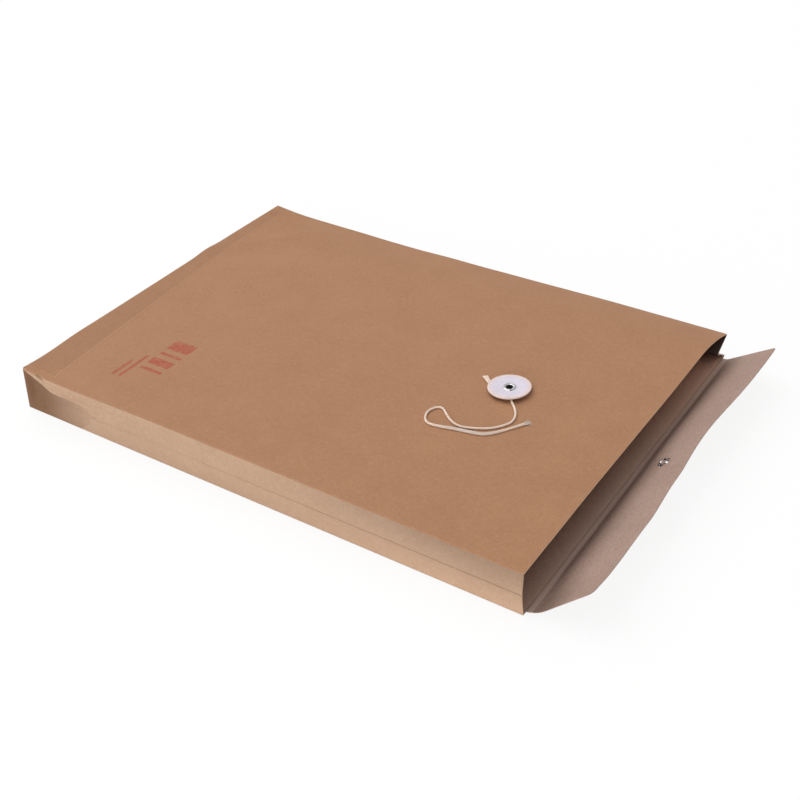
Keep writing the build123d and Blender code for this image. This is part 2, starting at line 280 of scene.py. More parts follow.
def panelTop(x, y):
    # height of the outer face: ruled from the end's line to the mouth's line, plus small measured sags
    width = farY - nearY
    endSlope = math.atan2(panel["endDrop"], width)
    endZ = panelUnder + paper / math.cos(endSlope) - panel["endDrop"] * (y - nearY) / width
    fall = math.atan2(panel["shoulderDrop"], panel["shoulderY"] - nearY)
    deep, wide = panel["mouthDrop"] - panel["shoulderDrop"], farY - panel["shoulderY"]
    turn = 2 * (math.atan2(deep, wide) - fall)
    radius = math.hypot(deep, wide) / (2 * math.sin(turn / 2))
    centreY = panel["shoulderY"] - radius * math.sin(fall)
    centreZ = panelUnder - panel["shoulderDrop"] - radius * math.cos(fall)
    straightZ = panelUnder + paper / math.cos(fall) - math.tan(fall) * (y - nearY)
    rolledZ = centreZ + np.sqrt(np.maximum((radius + paper) ** 2 - (y - centreY) ** 2, 1.0))
    mouthZ = np.where(y < panel["shoulderY"], straightZ, rolledZ)
    share = np.clip((x - panel["twistX"]) / (mouthX - panel["twistX"]), 0, 1)
    height = endZ + share * (mouthZ - endZ)
    narrow = 1 - ease(x, -80, 0)  # towards the closed end a narrower strip sags, clear of the leaf below
    farStrip = ease(y, 40 + 30 * narrow, 125 - 2 * narrow) ** 1.3
    height += curveThrough(x, *panel["farSag"]) * farStrip
    height += curveThrough(y, *panel["endFix"]) * np.exp(-(x - endX) / 40)
    height += curveThrough(y, *panel["mouthFix"]) * np.exp(-(mouthX - x) / 45)
    buckle = (y - curveThrough(x, *panel["buckle"])) / panel["buckleWidth"]
    crest = panel["buckleHeight"] * np.exp(-(buckle**2))
    height += crest * (1 - ease(x, -110, -30)) * (1 - ease(y, 100, 118))
    nearSag = curveThrough(x, *panel["nearSag"])
    return height + nearSag * np.exp(-(((y - nearY) / panel["nearSagWidth"]) ** 2))


def endPull(x, y):
    # how far the panel is drawn in at its near corner of the closed end, fading along both sides
    drawn = panel["cornerPull"] * (1 - ease(y, nearY, nearY + panel["cornerReach"]))
    return drawn * np.exp(-(np.maximum(x, endX) - endX) / 25)


# string: cotton cord from under the panel's button, its route as offsets in the panel's plane
string = {
    "diameter": 1.2, "clearance": 0.1, "strands": 3, "pitch": 4.6, "hitchRadius": 2.75, "hitchHeight": 0.64,
    "fromButton": [
        (2.0, -3.0), (5.8, -8.6), (12.8, -15.5), (16.1, -23.3), (14.0, -29.3), (8.7, -35.8), (1.0, -39.9),
        (-6.0, -42.3), (-12.0, -40.7), (-17.5, -36.7), (-22.7, -32.1), (-26.3, -33.6), (-28.2, -39.0),
        (-26.1, -45.2), (-22.1, -48.4), (-14.8, -47.1), (-6.9, -44.9), (2.5, -43.3), (8.9, -41.4),
        (14.0, -35.7), (18.2, -29.5), (22.3, -23.0)],
    "tail": [(-3.5, -1.0), (-9.0, -2.0), (-13.7, 1.0), (-18.0, 4.8)]}
buttonSeat = hingePoint("panel_button_spin")
buttonAxis = hingeAxis("panel_button_spin")
panelAlong = unit(np.array([1.0, 0.0, -buttonAxis[0] / buttonAxis[2]]))
panelAcross = np.cross(buttonAxis, panelAlong)


def onPanel(offsets):
    # offsets from the button's axis, as places of the string on the panel's outer face
    offsets = np.array(offsets, float)
    places = buttonSeat + offsets[:, :1] * panelAlong + offsets[:, 1:2] * panelAcross
    above = string["diameter"] / 2 + string["clearance"]
    places[:, 2] = panelTop(*places.T[:2]) + above
    return places


def splineLine(name, places):
    # points read from a NURBS spline that has these places as its control points
    curve = bpy.data.curves.new(name, "CURVE")
    curve.dimensions = "3D"
    spline = curve.splines.new("NURBS")
    spline.points.add(len(places) - 1)
    weighted = np.concatenate([places * mm, np.ones((len(places), 1))], 1)
    spline.points.foreach_set("co", weighted.ravel())
    spline.order_u = 3
    spline.use_endpoint_u = True
    spline.resolution_u = 22
    holder = linked(name, curve)
    line = evaluatedMesh(holder)
    found = np.empty(len(line.vertices) * 3)
    line.vertices.foreach_get("co", found)
    bpy.data.meshes.remove(line)
    bpy.data.objects.remove(holder)
    bpy.data.curves.remove(curve)
    return found.reshape(-1, 3) / mm


def strandParts(line, sides=7):
    # each strand is a helix about the line, phase = 2 pi * length / pitch, wider where the twist is slack
    diameter, strands = string["diameter"], string["strands"]
    side, up = acrossLine(line)
    length = np.concatenate([[0], np.cumsum(np.linalg.norm(np.diff(line, axis=0), axis=1))])
    s = length / length[-1]  # slack in the returning run and at the cut end
    slack = 1.1 * ease(s, 0.62, 0.74) * (1 - ease(s, 0.86, 0.93)) + 0.4 * ease(s, 0.94, 1.0)
    spread = 1 + slack
    reach, strandRadius = 0.24 * diameter, 0.33 * diameter
    parts = []
    for strand in range(strands):
        phase = (2 * np.pi * (length / string["pitch"] + strand / strands))[:, None]
        wide = (reach * spread)[:, None]
        path = line + wide * np.cos(phase) * side + np.minimum(wide, reach * 1.2) * np.sin(phase) * up
        parts.append(tubePart(path, strandRadius * spread**0.35, sides))
    return parts, np.tile(np.repeat(spread - 1, sides), strands)


stringLine = splineLine("tieStringRoute", onPanel(string["fromButton"]))


# materials: a helper puts its node into the tree of the socket or node that it is given
black = (0, 0, 0, 1)
white = (1, 1, 1, 1)


def setInputs(node, inputs):
    # inputs by name or place, each with a value or with the socket that feeds it
    for key, value in inputs.items():
        if hasattr(value, "links"):
            node.id_data.links.new(value, node.inputs[key])
        else:
            node.inputs[key].default_value = value
    return node


def addNode(owner, kind, inputs, **settings):
    node = owner.id_data.nodes.new("ShaderNode" + kind)
    for name, value in settings.items():
        setattr(node, name, value)
    return setInputs(node, inputs)


def newMaterial(name):
    material = bpy.data.materials.new(name)
    material.use_nodes = True
    shader = material.node_tree.nodes["Principled BSDF"]
    return material, shader, addNode(shader, "TexCoord", {}).outputs["Object"]


def linear(red, green, blue):
    # sRGB 0-255 to linear light
    share = np.array([red, green, blue]) / 255
    return tuple(np.where(share <= 0.04045, share / 12.92, ((share + 0.055) / 1.055) ** 2.4)) + (1.0,)


def noiseField(place, scale, detail, roughness, stretch=(1, 1, 1), turn=0.0):
    mapping = addNode(place, "Mapping", {"Scale": stretch, "Rotation": (0, 0, turn), "Vector": place})
    inputs = {"Scale": scale, "Detail": detail, "Roughness": roughness, "Vector": mapping.outputs["Vector"]}
    return addNode(place, "TexNoise", inputs).outputs["Fac"]


def ramped(value, low, high, fromLow=0.0, fromHigh=1.0):
    # value carried from low..high to fromLow..fromHigh, clamped
    inputs = {"Value": value, "From Min": low, "From Max": high, "To Min": fromLow, "To Max": fromHigh}
    return addNode(value, "MapRange", inputs).outputs["Result"]


def mixed(amount, first, second, blend="MIX"):
    inputs = {"Factor": amount, 6: first, 7: second}
    return addNode(amount, "Mix", inputs, data_type="RGBA", blend_type=blend).outputs[2]


def calculate(operation, *values, **settings):
    return addNode(values[0], "Math", dict(enumerate(values)), operation=operation, **settings).outputs[0]


def splitPlace(place):
    return addNode(place, "SeparateXYZ", {"Vector": place}).outputs.values()


def bumped(height, strength, distance, below=None):
    # normal of a bump, on top of the one below if there is one
    inputs = {"Strength": strength, "Distance": distance, "Height": height}
    if below:
        inputs["Normal"] = below
    return addNode(height, "Bump", inputs).outputs["Normal"]


# kraft card: colour, darker pulp, paler pulp, range of the roughness, strength of the grain
kraft = {
    "outside": ((176, 130, 96), (157, 111, 79), (193, 151, 119), (0.58, 0.72), 0.3),
    # side: a paler, greyer copy of the outside kraft for the upright leaves, with painted sheen and painted
    # light that those sides catch
    "side": ((192, 158, 131), (174, 137, 109), (209, 180, 155), (0.52, 0.66), 0.25),
    "inside": ((177, 149, 136), (152, 124, 111), (198, 173, 160), (0.62, 0.76), 0.6),
    # deep: near-black kraft, painted shade for the far leaves' linings and cut edges deep in the fold
    "deep": ((78, 60, 52), (62, 47, 41), (92, 73, 64), (0.66, 0.8), 0.5),
    "lap": ((169, 124, 91), (151, 106, 75), (187, 146, 114), (0.58, 0.72), 0.3),
    "lapEdge": ((188, 145, 112), (176, 133, 101), (199, 159, 128), (0.6, 0.75), 0.2),
    "cutEdge": ((206, 172, 143), (188, 152, 122), (220, 192, 168), (0.7, 0.85), 0.2)}
fleckColour = (112, 78, 56)


def kraftMaterial(name, look, finish=None):
    # cloudy pulp, short fibres both ways, fine grain, dark flecks
    colour, dark, pale, roughness, grainStrength = kraft[look]
    material, shader, place = newMaterial(name)
    clouds = noiseField(place, 42, 5, 0.62)
    pulp = noiseField(place, 420, 4, 0.7)
    alongFibre = noiseField(place, 1000, 3, 0.6, (0.3, 1, 1), 0.1)
    acrossFibre = noiseField(place, 900, 3, 0.6, (1, 0.3, 1), -0.35)
    grain = noiseField(place, 1100, 3, 0.6)
    flecks = noiseField(place, 1500, 2, 0.5, (1, 0.8, 1), 0.9)
    layers = [(clouds, 0.35, 0.7, 0.36, dark), (pulp, 0.42, 0.68, 0.28, pale),
              (alongFibre, 0.56, 0.7, 0.32, pale), (acrossFibre, 0.57, 0.72, 0.34, dark),
              (grain, 0.45, 0.64, grainStrength, dark), (flecks, 0.69, 0.76, 0.45, fleckColour)]
    tint = linear(*colour)
    for field, low, high, strength, layer in layers:
        tint = mixed(ramped(field, low, high, 0, strength), tint, linear(*layer))
    if finish:
        tint = finish(place, tint, pulp)
    normal = bumped(pulp, 0.3, 0.0001, bumped(grain, 0.3, 0.00006))
    setInputs(shader, {"Base Color": tint, "Roughness": ramped(pulp, 0.3, 0.7, *roughness),
                       "Specular IOR Level": 0.25, "Normal": normal})
    return material


ink = {"colour": (172, 72, 54), "strength": 0.9, "edge": 0.0003,
       "bars": [(-105.5, -90.5, -84.0, -81.5), (-105.5, -90.5, -77.5, -71.0), (-105.5, -90.5, -67.0, -64.5),
                (-105.5, -90.5, -60.5, -50.5), (-105.5, -90.5, -47.0, -44.5),
                (-110.5, -108.5, -97.0, -72.0), (-115.0, -113.0, -97.0, -80.0)]}


def plainBars(place, colour, pulp):
    # plain printed bars, worn where the pulp stands proud
    x, y, z = splitPlace(place)
    edge = ink["edge"]
    total = None
    for left, right, near, far in ink["bars"]:
        window = ramped(x, left * mm, left * mm + edge)
        window = calculate("MULTIPLY", window, ramped(x, right * mm + edge, right * mm))
        window = calculate("MULTIPLY", window, ramped(y, near * mm, near * mm + edge))
        window = calculate("MULTIPLY", window, ramped(y, far * mm + edge, far * mm))
        total = calculate("MAXIMUM", total, window) if total else window
    above = ramped(z, 0.0235, 0.0238)  # only the outer face is printed
    worn = calculate("MULTIPLY", ramped(pulp, 0.36, 0.62, 1.0, 0.45), ink["strength"])
    amount = calculate("MULTIPLY", calculate("MULTIPLY", total, above), worn)
    return mixed(amount, colour, linear(*ink["colour"]))


def pleatPaintedShadow(place, colour, pulp):
    # painted shadow: the pleat's facet darkens towards the closed end, where it is folded in under the
    # ridge
    x, y, z = splitPlace(place)
    amount = ramped(x, -0.15, -0.107, 0.95, 0.0)
    lean = calculate("MULTIPLY_ADD", z, -0.083, x)
    onSide = ramped(lean, -0.16212, -0.16196)  # the facet on the end stays as it is
    return mixed(mixed(onSide, black, amount), colour, (0.42, 0.33, 0.26, 1.0), "MULTIPLY")


def mouthPaintedLight(place, colour, pulp):
    # painted light, with a rubbed crease: the card grows paler where it runs out of the mouth into the
    # flap, where the pocket opens and over the shade of the crease's groove
    x, y, z = splitPlace(place)
    paintedPale = mixed(ramped(x, 0.148, 0.1642), black, (0.55, 0.55, 0.55, 1))
    amount = mixed(ramped(x, 0.1646, 0.1658), paintedPale, black)
    colour = mixed(amount, colour, linear(228, 205, 193))
    paintedBounce = mixed(ramped(y, -0.02, 0.1), (0.94, 0.86, 0.79, 1), (1.2, 0.98, 0.86, 1))
    within = ramped(x, 0.16, 0.1655, 1.0, 0.0)  # painted bounce light: the pocket's inside is warmer than the flap, darker at its near side and lighter towards its far side
    return mixed(within, colour, paintedBounce, "MULTIPLY")


def nearSidePaintedShade(place, colour, pulp):
    # painted light and shade: towards the mouth it is darker above its crease and paler below, as if lit
    # from the floor, with a painted shadow line in the crease
    x, y, z = splitPlace(place)
    height = ramped(z, 0.002, 0.0268, 1.2, 0.7)
    colour = mixed(ramped(x, 0.0, 0.12), colour, height, "MULTIPLY")
    above = ramped(z, 0.01365, 0.0139)
    line = mixed(ramped(z, 0.0142, 0.01445), above, black)
    amount = mixed(ramped(x, -0.06, 0.1, 0.1, 0.6), black, line)
    return mixed(amount, colour, (0.45, 0.4, 0.36, 1.0), "MULTIPLY")


kraftPrinted = kraftMaterial("kraftPrinted", "outside", plainBars)
kraftOutside = kraftMaterial("kraftOutside", "outside")
kraftSidePaintedSheen = kraftMaterial("kraftSidePaintedSheen", "side")
kraftNear = kraftMaterial("kraftNear", "side", nearSidePaintedShade)
kraftPleatPaintedShadow = kraftMaterial("kraftPleatPaintedShadow", "side", pleatPaintedShadow)
kraftPaintedShade = kraftMaterial("kraftPaintedShade", "deep")
kraftInside = kraftMaterial("kraftInside", "inside", mouthPaintedLight)
kraftEdge = kraftMaterial("kraftEdge", "cutEdge")
kraftLap = kraftMaterial("kraftLap", "lap")
kraftLapEdge = kraftMaterial("kraftLapEdge", "lapEdge")


def buttonMaterial(name, colour, dark):
    # pressed fibre card: pale, faintly clouded, with a soft sheen
    material, shader, place = newMaterial(name)
    clouds = noiseField(place, 260, 5, 0.65)
    grain = noiseField(place, 1900, 3, 0.6, (0.4, 1, 1), 0.7)
    tint = mixed(ramped(clouds, 0.38, 0.7, 0, 0.55), linear(*colour), linear(*dark))
    tint = mixed(ramped(grain, 0.6, 0.74, 0, 0.35), tint, linear(*dark))
    setInputs(shader, {"Base Color": tint, "Roughness": ramped(clouds, 0.3, 0.7, 0.34, 0.5),
                       "Normal": bumped(grain, 0.2, 0.00004)})
    return material


buttonFace = buttonMaterial("buttonFace", (228, 221, 233), (210, 202, 218))
buttonEdge = buttonMaterial("buttonEdge", (236, 216, 212), (216, 192, 188))

# bright plate with fine drawing marks and dark patches painted in as reflections
nickel, nickelShader, nickelPlace = newMaterial("nickelPlate")
paintedReflection = ramped(noiseField(nickelPlace, 700, 4, 0.6), 0.44, 0.6, 0, 0.9)
drawing = noiseField(nickelPlace, 2600, 2, 0.5, (1, 1, 0.15))
setInputs(nickelShader, {"Base Color": mixed(paintedReflection, linear(200, 199, 202), linear(98, 95, 95)),
                         "Metallic": 1.0, "Roughness": ramped(drawing, 0.3, 0.7, 0.14, 0.3),
                         "Normal": bumped(drawing, 0.12, 0.00002)})

# painted shade: dull near-black for the inside of a rivet and under its rim
rivetPaintedShade, boreShader, borePlace = newMaterial("rivetPaintedShade")
shadeNoise = noiseField(borePlace, 1100, 3, 0.6)
setInputs(boreShader, {"Base Color": mixed(shadeNoise, linear(34, 31, 31), linear(58, 54, 52)),
                       "Roughness": ramped(shadeNoise, 0.3, 0.7, 0.45, 0.65)})


def cottonMaterial(name, light, dark, soft):
    # undyed cotton: fine hairs along the strand, soft sheen
    material, shader, place = newMaterial(name)
    fuzz = noiseField(place, 2400, 4, 0.7)
    patches = noiseField(place, 160, 3, 0.6)
    tint = mixed(ramped(fuzz, 0.38, 0.66), linear(*light), linear(*dark))
    tint = mixed(ramped(patches, 0.45, 0.7, 0, 0.5), tint, linear(*soft))
    # the attribute holds how slack the twist is; greyer there
    twistSlack = addNode(shader, "Attribute", {}, attribute_name="twistSlack").outputs["Fac"]
    tint = mixed(ramped(twistSlack, 0.0, 1.1, 0, 0.6), tint, linear(205, 192, 183))
    setInputs(shader, {"Base Color": tint, "Roughness": 0.85, "Sheen Weight": 0.25, "Sheen Roughness": 0.5,
                       "Normal": bumped(fuzz, 0.4, 0.00008)})
    return material


cotton = cottonMaterial("cottonString", (250, 230, 214), (226, 199, 178), (238, 217, 203))
cottonWorn = cottonMaterial("cottonWorn", (232, 220, 208), (206, 190, 176), (216, 206, 198))
print("materials made")


# string pieces
def frayParts(line, hairs, length, spread, thick, seed):
    # loose hairs past the end of the line, each at its own angle and down to the panel
    chance = np.random.default_rng(seed)
    end, heading = line[-1], unit(line[-1] - line[-4])
    side = unit(np.cross(heading, buttonAxis))
    s = np.linspace(0, 1, 9)[:, None]
    parts = []
    while len(parts) < hairs:
        aim = chance.uniform(-1, 1)
        reach = chance.uniform(0.45, 1.0) * length
        bend = chance.uniform(-0.5, 0.5)
        sideways = spread * (aim * s + bend * s**2)
        path = end - heading * 0.8 + heading * reach * s + side * (sideways * reach + 0.4 * aim)
        path += buttonAxis * chance.uniform(-0.35, 0.45) * (1 - 0.7 * s)
        path[:, 2] = np.maximum(path[:, 2], panelTop(*path.T[:2]) + 0.15)
        parts.append(tubePart(path, thick * (1 - 0.5 * s[:, 0]), 5))
    return parts


def fanParts(line, strands, narrow, wide, thick):
    # flattened end: strands side by side, offset = place * (narrow + (wide - narrow) * s^2)
    side = acrossLine(line)[0]
    s = np.linspace(0, 1, len(line))[:, None]
    parts = []
    for strand, place in enumerate(np.linspace(-1, 1, strands)):
        path = line + side * place * (narrow + (wide - narrow) * s**2)
        path += buttonAxis * 0.22 * math.cos(2.3 * strand) * (1 - 0.5 * s)
        parts.append(tubePart(path, thick, 7))
    return parts


stringParts, stringSlack = strandParts(stringLine)
tieString = addString("tieString", stringParts, cotton, ["tie_string"])
slackLayer = tieString.data.attributes.new("twistSlack", "FLOAT", "POINT")
slackLayer.data.foreach_set("value", stringSlack.astype(np.float32))
tieStringEnd = addString("tieStringEnd", frayParts(stringLine, 26, 4.6, 0.42, 0.13, 5), cottonWorn)
tailLine = splineLine("stringTailRoute", onPanel(string["tail"]))
tailParts = fanParts(tailLine, 7, 0.42, 1.35, 0.3) + frayParts(tailLine, 10, 1.8, 0.8, 0.14, 8)
addString("stringTail", tailParts, cotton, ["string_tail"])
hitchTurn = np.linspace(0, 2 * np.pi, 61)[:, None]
hitchRing = string["hitchRadius"] * (np.cos(hitchTurn) * panelAlong + np.sin(hitchTurn) * panelAcross)
hitchLine = buttonSeat + hitchRing + string["hitchHeight"] * buttonAxis
addString("stringHitch", [tubePart(hitchLine, string["diameter"] / 2, 12)], cotton, ["string_hitch"])
print("string pieces made")


# front panel, flat on the table, with the outsides of its folds
front = {"halfLength": 161.8, "halfWidth": 119.8, "endReach": 119.6, "flapReach": 117.4, "flapX": 162.0,
         "nearStart": -161.6, "seamStart": -161.0}
nearRoot = hingePoint("pocket_fold")
farRoot = hingePoint("far_gusset_root_crease")
flapRoot = hingePoint("flap_fold")
frontEnd, frontSide = front["halfLength"], front["halfWidth"]
frontGrid = gridOf(spaced(-frontEnd, frontEnd, 60)[:, None], spaced(-frontSide, frontSide, 44), paper)
nearFold = lineBetween((front["nearStart"], nearY, paper), (frontEnd, nearY, paper), 60)
endFold = lineBetween((endX, front["endReach"], paper), (endX, -front["endReach"], paper), 50)
foldX, foldHalf = front["flapX"], front["flapReach"]
flapFold = lineBetween((foldX, -foldHalf, paper), (foldX, foldHalf, paper), 50)
frontParts = [sheetPart(frontGrid, (0, 0, 1)), foldPart(nearFold, (0, 0, -1), (0, -1, 0)),
              foldPart(endFold, (0, 0, -1), (-1, 0, 0)), foldPart(flapFold, (-1, 0, 0), (0, 0, -1))]
addCard("frontPanel", frontParts, kraftInside, "front_panel", ["front_panel"], kraftOutside, kraftOutside)
farFold = lineBetween((front["seamStart"], farY, farRoot[2]), (frontEnd, farY, farRoot[2]), 60)
addCard("seamFold", [foldPart(farFold, (0, 0, -1), (0, 1, 0))], kraftSidePaintedSheen, "front_panel")
frame["nodes"]["seam_tab"].data.materials.clear()
frame["nodes"]["seam_tab"].data.materials.append(kraftInside)
print("front panel made")


# back panel, punched for its rivet
panelX, panelY = spaced(endX, mouthX, 150)[:, None], spaced(-panel["sheetSide"], panel["sheetSide"], 116)
panelGrid = gridOf(panelX + endPull(panelX, panelY), panelY, panelTop(panelX, panelY))


def panelEdge(y, outward):
    edge = lineBetween((-frontEnd, y, 0), (frontEnd, y, 0), 150)
    edge[:, 2] = panelTop(*edge.T[:2]) - paper
    edge[:, 0] += endPull(*edge.T[:2])
    return foldPart(edge, (0, 0, 1), outward)


panelParts = [sheetPart(panelGrid, (0, 0, 1)), panelEdge(nearY, (0, -1, 0)), panelEdge(farY, (0, 1, 0))]
backPanel = addCard("backPanel", panelParts, kraftPrinted, "back_panel", ["back_panel"], kraftInside,
                    kraftEdge)
punchProfile = [(0.01, -3), (panel["hole"], -3), (panel["hole"], 3), (0.01, 3)]
punch = addCard("punch", [turnedPart(punchProfile, buttonSeat, buttonAxis, 48)], nickel, "back_panel")
cut = backPanel.modifiers.new("buttonHole", "BOOLEAN")
cut.object = punch
cut.solver = "EXACT"
punched = evaluatedMesh(backPanel)
backPanel.modifiers.clear()
backPanel.data = punched
bpy.data.objects.remove(punch)
print("back panel made,", len(punched.polygons), "faces")


# strip of the closed end, stuck on the back panel and turned down over the end
lap = {"near": -116.0, "far": 113.0, "outerX": -162.4, "film": -0.28, "nose": 0.8,
       "inner": ([-120, -108, -60, 0, 51, 90, 120],
                 [-140.0, -140.4, -143.6, -147.8, -151.6, -153.4, -154.4])}
lapY = spaced(lap["near"], lap["far"], 90)
lapShare = np.concatenate([[0.0, 0.03], np.linspace(0.08, 1, 15), np.full(8, 1.0)])
lapTurn = np.concatenate([np.zeros(16), np.linspace(0, np.pi / 2, 9)])
lapInner = curveThrough(lapY, *lap["inner"])[None, :]
noseX = lap["outerX"] + lap["nose"]
lapFlatX = lapInner + (noseX - lapInner) * lapShare[:, None]
lapX = lapFlatX - lap["nose"] * np.sin(lapTurn)[:, None] + endPull(lapFlatX, lapY)
lapHeight = panelTop(np.maximum(lapFlatX, endX), lapY) + lap["film"] + paper
lapZ = lapHeight - lap["nose"] * (1 - np.cos(lapTurn))[:, None]
lapPart = sheetPart(gridOf(lapX, lapY, lapZ), (0, 0, 1))
lapPart[2][:len(lapY) - 1] = 2  # the cut edge shows as a thin paler line
addCard("endLap", [lapPart], kraftLap, "back_panel", ["end_lap"], kraftLap, kraftLapEdge)
print("end strip made")


# near gusset: two leaves that lean out a little; the upper one ends in a ridge over the corner pleat
near = {"depth": 13.8, "ripple": 0.22, "groove": 0.5, "grooveWidth": 0.8, "creaseGap": 0.1,
        "ridgeX": [-159.6, -154.0, -144.4, -137.0, -128.0, -119.0, -113.5, -109.0, -104.0],
        "ridgeY": [-120.4, -121.4, -123.0, -123.5, -123.5, -123.1, -122.6, -122.3, -122.0],
        "ridgeShare": [0.0, 0.03, 0.11, 0.33, 0.36, 0.40, 0.6, 0.82, 1.0],
        "pleatEdge": -122.0, "pleatSlant": 18.0, "lap": 5.0, "tuck": 0.55}
nearCrease = hingePoint("near_gusset_crease")
leafTop = nearRoot[1] - paper


def ridgeAt(key, place):
    return curveThrough(place, np.linspace(0, 1, len(near[key])), near[key])


def leafWave(x, share):
    # slow ripples along a leaf, still at its edges, and a groove along the crease
    wave = np.sin(x / 23 + 0.6) + 0.7 * np.sin(x / 11 + 2.1)
    depth = (1 - share) * near["depth"] / near["grooveWidth"]
    ripple = near["ripple"] * wave * np.sin(np.pi * share) * ease(x, -100, -70)
    return near["groove"] * np.exp(-(depth**2)) - ripple


leafAlong = spaced(0, 1, 120, 0.002)[:, None]
ridgePlace = np.concatenate([np.linspace(0, 0.97, 40), [0.98, 0.99, 1.0]])[None, :]
upperShare = ridgeAt("ridgeShare", ridgePlace)
ridgeX = ridgeAt("ridgeX", ridgePlace)
upperX = ridgeX + (mouthX - ridgeX) * leafAlong
upperStartZ = panelTop(upperX, -panel["leafSide"]) - paper
upperFlatY = leafTop + (nearCrease[1] - leafTop) * upperShare
upperY = upperFlatY + (ridgeAt("ridgeY", ridgePlace) - upperFlatY) * np.exp(-(upperX - ridgeX) / 16)
upperY += leafWave(upperX, upperShare) * ease(upperX, -104, -92)
upperZ = upperStartZ + (nearCrease[2] - upperStartZ + near["creaseGap"]) * upperShare
nearUpper = gridOf(upperX, upperY, upperZ)
addLeaf("nearUpperLeaf", "near_gusset_upper", nearUpper, (0, -1, 0), kraftNear, kraftInside)
leafAcross = np.concatenate([np.linspace(0, 0.9, 12), [0.93, 0.955, 0.975, 0.99, 1.0]])[None, :]
# left of this line the pleat's facet lies over the leaf
pleatEdge = near["pleatEdge"] + near["pleatSlant"] * leafAcross
lowerStart = pleatEdge - near["lap"]
lowerX = lowerStart + (mouthX - lowerStart) * leafAlong
lowerY = leafTop + (nearCrease[1] - leafTop) * leafAcross + leafWave(lowerX, leafAcross)
lowerY += near["tuck"] * (1 - ease(lowerX - pleatEdge, -6, -1))
lowerZ = nearRoot[2] + (nearCrease[2] - near["creaseGap"] - nearRoot[2]) * leafAcross
nearLower = gridOf(lowerX, lowerY, lowerZ)
addLeaf("nearLowerLeaf", "near_gusset_lower", nearLower, (0, -1, 0), kraftNear, kraftInside)

# near corner pleat: a facet folded in under the ridge, and a narrow one on the end
pleat = {"endDepth": 6.0, "recess": 3.4, "tuck": 1.5, "firstX": -161.9, "lastX": -122.0, "proud": 0.06,
         "lowZ": 0.5, "cornerY": -120.3, "highX": -159.7, "tipX": -161.8, "tipZ": 13.8, "reach": 0.93,
         "overlap": 0.8, "roofGap": 0.2, "endShift": 0.2}
pleatAlong = np.linspace(0, 1, 46)[:, None]
pleatUp = np.linspace(0, 1, 26)[None, :]
endAcross = np.linspace(0, 1, 8)[:, None]


def threeCornered(low, high, tip, along, reach):
    # facet ruled between the lines from its low and high corners to its tip, which is cut off
    lowLine = low + (tip - low) * along * reach
    highLine = high + (tip - high) * along * reach
    return lowLine[:, None] + (highLine - lowLine)[:, None] * pleatUp[..., None]


facetTopX = ridgeAt("ridgeX", pleatAlong)
facetRoof = panelTop(facetTopX, -panel["leafSide"]) - paper
facetTopZ = facetRoof + (nearCrease[2] - facetRoof) * ridgeAt("ridgeShare", pleatAlong) + pleat["overlap"]
facetTopZ = np.minimum(facetTopZ, facetRoof - pleat["roofGap"])
facetLowX = pleat["firstX"] + (pleat["lastX"] - pleat["firstX"]) * pleatAlong
facetX = facetLowX + (facetTopX - facetLowX) * pleatUp
facetZ = pleat["lowZ"] + (facetTopZ - pleat["lowZ"]) * pleatUp
leanOut = (nearCrease[1] - leafTop) * np.minimum(facetZ / nearCrease[2], 1) * ease(pleatAlong, 0.2, 0.7)
facetY = leafTop + leanOut - pleat["proud"]
toRidge = ridgeAt("ridgeY", pleatAlong) + pleat["tuck"] - facetY
facetY += toRidge * ease(pleatUp, 0.4, 1.0) * ease(pleatAlong, 0, 0.1)
hollow = ease(pleatAlong, 0, 0.12) * (1 - ease(pleatAlong, 0.3, 0.72)) * np.sin(np.pi * pleatUp) ** 0.9
facetY += pleat["recess"] * hollow
cornerLow = np.array([pleat["firstX"], pleat["cornerY"], pleat["lowZ"]])
cornerHigh = np.array([pleat["highX"], pleat["cornerY"], facetTopZ[0, 0]])
endTip = np.array([pleat["tipX"], nearY + pleat["endDepth"], pleat["tipZ"]])
endFacet = threeCornered(cornerLow, cornerHigh, endTip, endAcross, pleat["reach"])
endFacet[..., 0] -= pleat["endShift"]
facetPart = sheetPart(gridOf(facetX, facetY, facetZ), (0, -1, 0))
nearPleatParts = [facetPart, sheetPart(endFacet, (-1, 0, 0))]
nearPleat = addCard("nearCornerPleat", nearPleatParts, kraftPleatPaintedShadow, "front_panel", ["near_corner_pleat"],
                    kraftInside)
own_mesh(nearPleat)
print("near gusset made")


# far gusset: two leaves folded in, ruled from the closed end to the mouth, and the pleat at its end
far = {"depth": 13.7, "pleatX": -132.0, "firstX": -161.2, "endLean": 70.62, "mouthLean": 58.23,
       "twistX": -140.0, "endEdge": 10.732, "mouthEdge": 16.032, "bow": 0.9, "hollow": 1.2,
       "low": (-161.9, 120.2, 1.0), "high": (-161.9, 120.2, 10.2),
       "tip": (-133.0, 107.4, 5.6), "reach": 0.985, "endTip": (-162.0, 114.0, 5.6), "endReach": 0.9}
farX = far["firstX"] + (far["pleatX"] - far["firstX"]) * leafAcross
farX = farX + (mouthX - farX) * leafAlong
farShare = np.clip((farX - far["twistX"]) / (mouthX - far["twistX"]), 0, 1)
farLean = np.radians(far["endLean"] + (far["mouthLean"] - far["endLean"]) * farShare)
farDepth = far["depth"] * leafAcross
leafY = farY - farDepth * np.sin(farLean)
outOfFold = gridOf(0, np.cos(farLean), np.sin(farLean))
lowerFar = gridOf(farX, leafY, farRoot[2] + farDepth * np.cos(farLean)) + paper * outOfFold
# the far leaves' linings and cut edges carry painted shade
addLeaf("farLowerLeaf", "far_gusset_lower", lowerFar, (0, 1, 1), kraftSidePaintedSheen, kraftPaintedShade, kraftPaintedShade)
edgeZ = far["endEdge"] + (far["mouthEdge"] - far["endEdge"]) * farShare
edgeDrop = (panelTop(farX, panel["leafSide"]) - paper - edgeZ) * (1 - leafAcross)
